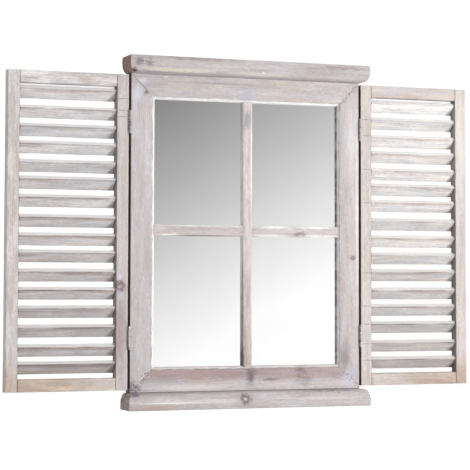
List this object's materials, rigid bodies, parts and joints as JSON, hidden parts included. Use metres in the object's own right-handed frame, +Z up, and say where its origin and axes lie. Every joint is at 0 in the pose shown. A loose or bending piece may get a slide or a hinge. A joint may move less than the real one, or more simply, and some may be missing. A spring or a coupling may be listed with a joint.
{
  "type": "shutter mirror",
  "caption": "Wall mirror shaped like a small window: a limed wooden frame with cornice, sill and glazing bars over mirror glass, and a hinged louvred shutter on each side.",
  "frame": {"origin": "middle of the underside of the sill, half way between the wall plane and the boards' front edges", "axes": "+X runs across the mirror to the right as seen from the front, +Y runs into the wall, +Z is up; the shutters are stored swung open, flat beside the frame"},
  "size_m": [0.8542, 0.05, 0.6],
  "materials": {
    "limed_boards": "whitewashed softwood, matt, grain and knots showing through",
    "limed_frame": "whitewashed softwood, matt, grain showing through",
    "limed_bars": "whitewashed softwood, matt",
    "limed_left_shutter": "whitewashed softwood, matt, grain showing through",
    "limed_right_shutter": "whitewashed softwood, matt, grain showing through",
    "limed_slats": "whitewashed softwood, matt",
    "mirror_glass": "silvered glass",
    "hardboard": "smooth hardboard",
    "zinc_steel": "zinc plated",
    "hinge_steel": "plated, dull"
  },
  "bodies": {
    "frame": {"cornice": "limed_boards", "sill": "limed_boards", "frame_top_rail": "limed_frame", "frame_bottom_rail": "limed_frame", "frame_left_stile": "limed_frame", "frame_right_stile": "limed_frame", "upright_bar": "limed_bars", "cross_bar": "limed_bars", "mirror_glass": "mirror_glass", "back_panel": "hardboard", "glazing_points": "zinc_steel", "hanger_plates": "zinc_steel", "hanger_screws": "zinc_steel", "frame_hinge_leaves": "hinge_steel", "hinge_pins": "hinge_steel", "frame_hinge_screws": "hinge_steel"},
    "left_shutter": {"left_hinge_stile": "limed_left_shutter", "left_meeting_stile": "limed_left_shutter", "left_top_rail": "limed_left_shutter", "left_bottom_rail": "limed_left_shutter", "left_hinge_leaves": "hinge_steel", "left_hinge_screws": "hinge_steel", "left_slat_01": "limed_slats", "left_slat_02": "limed_slats", "left_slat_03": "limed_slats", "left_slat_04": "limed_slats", "left_slat_05": "limed_slats", "left_slat_06": "limed_slats", "left_slat_07": "limed_slats", "left_slat_08": "limed_slats", "left_slat_09": "limed_slats", "left_slat_10": "limed_slats", "left_slat_11": "limed_slats", "left_slat_12": "limed_slats", "left_slat_13": "limed_slats", "left_slat_14": "limed_slats", "left_slat_15": "limed_slats", "left_slat_16": "limed_slats"},
    "right_shutter": {"right_hinge_stile": "limed_right_shutter", "right_meeting_stile": "limed_right_shutter", "right_top_rail": "limed_right_shutter", "right_bottom_rail": "limed_right_shutter", "right_hinge_leaves": "hinge_steel", "right_hinge_screws": "hinge_steel", "right_slat_01": "limed_slats", "right_slat_02": "limed_slats", "right_slat_03": "limed_slats", "right_slat_04": "limed_slats", "right_slat_05": "limed_slats", "right_slat_06": "limed_slats", "right_slat_07": "limed_slats", "right_slat_08": "limed_slats", "right_slat_09": "limed_slats", "right_slat_10": "limed_slats", "right_slat_11": "limed_slats", "right_slat_12": "limed_slats", "right_slat_13": "limed_slats", "right_slat_14": "limed_slats", "right_slat_15": "limed_slats", "right_slat_16": "limed_slats"}
  },
  "joints": [
    {"name": "left_shutter_hinge", "type": "hinge", "parent": "frame", "child": "left_shutter", "pos_m": [-0.2148, 0.00091, 0.3], "axis": [0, 0, 1], "range_deg": [0, 180]},
    {"name": "right_shutter_hinge", "type": "hinge", "parent": "frame", "child": "right_shutter", "pos_m": [0.2148, 0.00091, 0.3], "axis": [0, 0, -1], "range_deg": [0, 180]}
  ]
}
